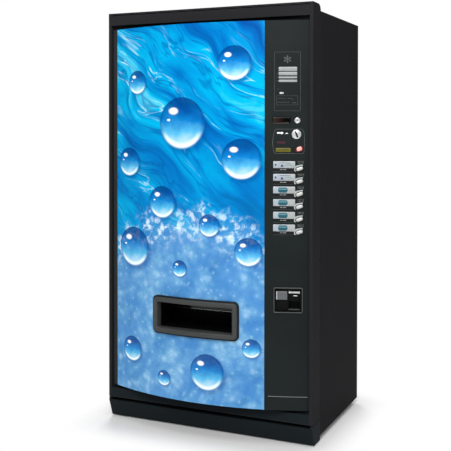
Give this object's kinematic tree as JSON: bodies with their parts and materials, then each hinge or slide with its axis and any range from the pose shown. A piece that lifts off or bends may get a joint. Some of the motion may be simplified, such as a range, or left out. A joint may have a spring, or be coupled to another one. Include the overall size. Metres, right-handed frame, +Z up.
{
  "type": "drink vending machine",
  "caption": "Free-standing chilled drink vending machine: hinged door with a convex lit front, control column with buttons and coin parts, delivery port, can columns and cooling deck.",
  "frame": {"origin": "on the floor, under the middle of the machine's box", "axes": "+X to the machine's right as seen from the front, +Y to the back, +Z up"},
  "size_m": [0.97, 0.773, 1.83],
  "materials": {
    "painted_steel": "dark grey satin powder coat",
    "rim_steel": "dark grey satin paint",
    "liner": "white formed liner over foam",
    "print": "backlit printed plastic",
    "column_plastic": "dark grey semi-gloss plastic",
    "black_plastic": "black moulded plastic",
    "bezel_plastic": "dark grey moulded plastic",
    "smoked_plastic": "dark smoked plastic",
    "button_plastic": "pale satin plastic",
    "return_plastic": "translucent red plastic",
    "label_plastic": "clear window over a pale card",
    "rotor_plastic": "pale moulded plastic",
    "zinc_steel": "zinc-plated sheet steel",
    "bright_metal": "polished chrome",
    "fin_metal": "bare aluminium fins",
    "pot_paint": "black gloss paint",
    "copper_pipe": "bare copper tube",
    "reflector_white": "white gloss paint",
    "lamp_glass": "white coated glass tube",
    "board": "green circuit board",
    "seal_rubber": "black rubber"
  },
  "bodies": {
    "cabinet": {"cabinet_shell": "painted_steel", "insulated_tank": "liner", "base_frame": "painted_steel", "kick_plate": "painted_steel", "levelling_feet": "zinc_steel", "rear_grille": "painted_steel", "power_inlet": "black_plastic", "column_walls": "zinc_steel", "rotor_cradle": "zinc_steel", "rotor_motors": "zinc_steel", "delivery_chute": "zinc_steel", "evaporator": "fin_metal", "evaporator_shroud": "zinc_steel", "compressor": "pot_paint", "condenser": "fin_metal", "condenser_shroud": "black_plastic", "drip_tray": "black_plastic", "refrigerant_pipes": "copper_pipe", "power_supply": "zinc_steel", "hinge_plates": "zinc_steel", "latch_keeper": "zinc_steel"},
    "door": {"door_frame": "rim_steel", "top_cap": "rim_steel", "bottom_apron": "painted_steel", "print_panel": "print", "hinge_side_trim": "rim_steel", "control_panel": "column_plastic", "light_reflector": "reflector_white", "lamp_tubes": "lamp_glass", "delivery_bezel": "bezel_plastic", "delivery_hopper": "black_plastic", "label_windows": "label_plastic", "button_bezels": "black_plastic", "display_window": "smoked_plastic", "coin_slot_plate": "bright_metal", "coin_cup": "black_plastic", "coin_mechanism": "black_plastic", "cash_box": "zinc_steel", "control_board": "board", "door_back_cover": "liner", "door_gasket": "seal_rubber"},
    "lock": {"lock_cylinder": "bright_metal"},
    "latch": {"latch_bar": "zinc_steel"},
    "delivery_flap": {"delivery_flap": "smoked_plastic"},
    "coin_cup_flap": {"coin_cup_flap": "bright_metal"},
    "coin_return_button": {"coin_return_button": "return_plastic"},
    "evaporator_fan": {"evaporator_fan": "black_plastic"},
    "condenser_fan": {"condenser_fan": "fin_metal"},
    "select_button_1": {"select_button_1": "button_plastic"},
    "select_button_2": {"select_button_2": "button_plastic"},
    "select_button_3": {"select_button_3": "button_plastic"},
    "select_button_4": {"select_button_4": "button_plastic"},
    "select_button_5": {"select_button_5": "button_plastic"},
    "select_button_6": {"select_button_6": "button_plastic"},
    "dispense_rotor_1": {"dispense_rotor_1": "rotor_plastic"},
    "dispense_rotor_2": {"dispense_rotor_2": "rotor_plastic"},
    "dispense_rotor_3": {"dispense_rotor_3": "rotor_plastic"},
    "dispense_rotor_4": {"dispense_rotor_4": "rotor_plastic"},
    "dispense_rotor_5": {"dispense_rotor_5": "rotor_plastic"},
    "dispense_rotor_6": {"dispense_rotor_6": "rotor_plastic"}
  },
  "joints": [
    {"name": "door_swing", "type": "hinge", "parent": "cabinet", "child": "door", "pos_m": [-0.47, -0.2245, 0.915], "axis": [0, 0, -1], "range_deg": [0, 115]},
    {"name": "delivery_flap_swing", "type": "hinge", "parent": "door", "child": "delivery_flap", "pos_m": [-0.014, -0.1965, 0.627], "axis": [-1, 0, 0], "range_deg": [0, 50]},
    {"name": "coin_cup_flap_swing", "type": "hinge", "parent": "door", "child": "coin_cup_flap", "pos_m": [0.40305, -0.27492, 0.636], "axis": [0.9426, 0.3339, 0], "range_deg": [0, 40]},
    {"name": "lock_turn", "type": "hinge", "parent": "door", "child": "lock", "pos_m": [0.4195, -0.28759, 1.345], "axis": [0.3634, -0.9316, 0], "range_deg": [0, 91]},
    {"name": "latch_lift", "type": "slide", "parent": "door", "child": "latch", "axis": [0, 0, 1], "range_m": [0, 0.02545]},
    {"name": "select_button_1_press", "type": "slide", "parent": "door", "child": "select_button_1", "axis": [-0.3707, 0.9287, 0], "range_m": [0, 0.003], "stiffness_N_per_m": 600},
    {"name": "select_button_2_press", "type": "slide", "parent": "door", "child": "select_button_2", "axis": [-0.3707, 0.9287, 0], "range_m": [0, 0.003], "stiffness_N_per_m": 600},
    {"name": "select_button_3_press", "type": "slide", "parent": "door", "child": "select_button_3", "axis": [-0.3707, 0.9287, 0], "range_m": [0, 0.003], "stiffness_N_per_m": 600},
    {"name": "select_button_4_press", "type": "slide", "parent": "door", "child": "select_button_4", "axis": [-0.3707, 0.9287, 0], "range_m": [0, 0.003], "stiffness_N_per_m": 600},
    {"name": "select_button_5_press", "type": "slide", "parent": "door", "child": "select_button_5", "axis": [-0.3707, 0.9287, 0], "range_m": [0, 0.003], "stiffness_N_per_m": 600},
    {"name": "select_button_6_press", "type": "slide", "parent": "door", "child": "select_button_6", "axis": [-0.3707, 0.9287, 0], "range_m": [0, 0.003], "stiffness_N_per_m": 600},
    {"name": "coin_return_press", "type": "slide", "parent": "door", "child": "coin_return_button", "axis": [-0.3699, 0.9291, 0], "range_m": [0, 0.003], "stiffness_N_per_m": 600},
    {"name": "dispense_rotor_1_turn", "type": "hinge", "parent": "cabinet", "child": "dispense_rotor_1", "pos_m": [-0.35125, 0.0805, 0.7], "axis": [0, 1, 0], "continuous": true},
    {"name": "dispense_rotor_2_turn", "type": "hinge", "parent": "cabinet", "child": "dispense_rotor_2", "pos_m": [-0.21075, 0.0805, 0.7], "axis": [0, 1, 0], "continuous": true},
    {"name": "dispense_rotor_3_turn", "type": "hinge", "parent": "cabinet", "child": "dispense_rotor_3", "pos_m": [-0.07025, 0.0805, 0.7], "axis": [0, 1, 0], "continuous": true},
    {"name": "dispense_rotor_4_turn", "type": "hinge", "parent": "cabinet", "child": "dispense_rotor_4", "pos_m": [0.07025, 0.0805, 0.7], "axis": [0, 1, 0], "continuous": true},
    {"name": "dispense_rotor_5_turn", "type": "hinge", "parent": "cabinet", "child": "dispense_rotor_5", "pos_m": [0.21075, 0.0805, 0.7], "axis": [0, 1, 0], "continuous": true},
    {"name": "dispense_rotor_6_turn", "type": "hinge", "parent": "cabinet", "child": "dispense_rotor_6", "pos_m": [0.35125, 0.0805, 0.7], "axis": [0, 1, 0], "continuous": true},
    {"name": "evaporator_fan_spin", "type": "hinge", "parent": "cabinet", "child": "evaporator_fan", "pos_m": [-0.09, 0.155, 0.524], "axis": [0, 1, 0], "continuous": true},
    {"name": "condenser_fan_spin", "type": "hinge", "parent": "cabinet", "child": "condenser_fan", "pos_m": [-0.19, -0.0565, 0.202], "axis": [0, 1, 0], "continuous": true}
  ],
  "couplings": [
    {"joint": "lock_turn", "follows": "latch_lift", "rad_per_m": 61.707}
  ]
}
